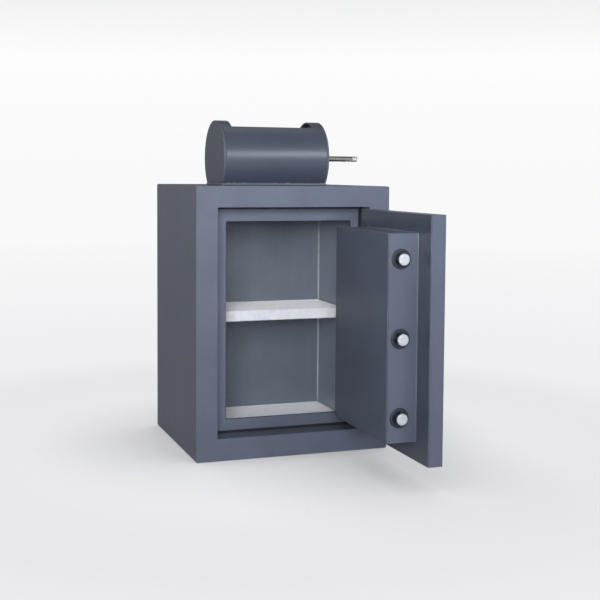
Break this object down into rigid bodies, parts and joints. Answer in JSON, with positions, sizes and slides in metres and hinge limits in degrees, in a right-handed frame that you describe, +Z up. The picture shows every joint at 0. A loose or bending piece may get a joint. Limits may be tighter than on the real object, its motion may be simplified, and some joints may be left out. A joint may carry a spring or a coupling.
{
  "type": "drop safe",
  "caption": "Floor-standing steel drop safe with an open hinged door on round locking bolts, a shelf inside and a rotary deposit drum on top.",
  "frame": {"origin": "centre of the safe's underside, on the surface it stands on, half the body's depth behind its front face", "axes": "+X to the right as one faces the door, +Y from the front to the back, +Z up; the door is at rest open at a right angle"},
  "size_m": [0.5243, 0.878, 0.87],
  "materials": {
    "slate_paint": "satin slate-grey enamel",
    "lining_paint": "plain grey lining paint",
    "bright_steel": "bright ground steel",
    "plain_steel": "plain zinc-plated steel",
    "cast_metal": "dark powder coat",
    "brass": "plain brass",
    "felt": "pale flocked felt",
    "seal": "dark intumescent strip",
    "fire_fill": "cast fire-resistant fill"
  },
  "bodies": {
    "body": {"body_shell": "slate_paint", "back_panel": "slate_paint", "front_frame": "slate_paint", "bolt_frame": "slate_paint", "fire_seal": "seal", "insulation": "fire_fill", "cavity_liner": "lining_paint", "floor_mat": "felt", "shelf_board": "plain_steel", "shelf_cover": "felt", "shelf_ledge_left": "lining_paint", "shelf_ledge_right": "lining_paint", "drum_flange": "slate_paint", "drum_housing": "slate_paint", "drum_end_left": "slate_paint", "drum_end_right": "slate_paint", "bearing_cup_left": "plain_steel", "shaft_bush_right": "brass", "chute_liner": "lining_paint", "chute_baffle_front": "plain_steel", "chute_baffle_rear": "plain_steel", "hinge_knuckle_fixed_lower": "slate_paint", "hinge_pin_lower": "plain_steel", "hinge_knuckle_fixed_upper": "slate_paint", "hinge_pin_upper": "plain_steel"},
    "door": {"door_pan": "slate_paint", "door_fill": "fire_fill", "door_inner_plate": "slate_paint", "hinge_strap_lower": "slate_paint", "hinge_strap_upper": "slate_paint", "bolt_box": "slate_paint", "bolt_box_cover": "slate_paint", "cover_screw_1": "bright_steel", "cover_screw_2": "bright_steel", "cover_screw_3": "bright_steel", "cover_screw_4": "bright_steel", "dead_bar": "plain_steel", "carrier_guide_lower": "plain_steel", "carrier_guide_upper": "plain_steel", "handle_rose": "cast_metal", "lock_escutcheon": "cast_metal", "lock_case": "plain_steel", "bolt_collar_lower": "slate_paint", "bolt_collar_middle": "slate_paint", "bolt_collar_upper": "slate_paint"},
    "boltwork": {"locking_bolt_lower": "bright_steel", "locking_bolt_middle": "bright_steel", "locking_bolt_upper": "bright_steel", "carrier_bar": "plain_steel", "carrier_tail": "plain_steel", "lock_dog": "plain_steel"},
    "handle": {"lever_handle": "cast_metal", "handle_spindle": "plain_steel", "crank_arm": "plain_steel"},
    "key_plug": {"lock_plug": "brass", "lock_cam": "plain_steel", "cam_screw": "plain_steel"},
    "rotor": {"drum_rotor": "slate_paint", "drum_shaft": "bright_steel"}
  },
  "joints": [
    {"name": "door_hinge", "type": "hinge", "parent": "body", "child": "door", "pos_m": [0.22075, -0.22775, 0.35], "axis": [0, 0, 1], "range_deg": [-90, 30]},
    {"name": "handle_turn", "type": "hinge", "parent": "door", "child": "handle", "pos_m": [0.242, -0.4785, 0.4], "axis": [-1, 0, 0], "range_deg": [0, 60]},
    {"name": "bolt_throw", "type": "slide", "parent": "door", "child": "boltwork", "axis": [0, -1, 0], "range_m": [0, 0.0305]},
    {"name": "key_turn", "type": "hinge", "parent": "door", "child": "key_plug", "pos_m": [0.218, -0.4485, 0.3], "axis": [-1, 0, 0], "range_deg": [0, 90]},
    {"name": "drum_turn", "type": "hinge", "parent": "body", "child": "rotor", "pos_m": [0, -0.076, 0.7725], "axis": [1, 0, 0], "range_deg": [0, 180]}
  ],
  "couplings": [
    {"joint": "bolt_throw", "follows": "handle_turn", "m_per_rad": 0.02912}
  ]
}
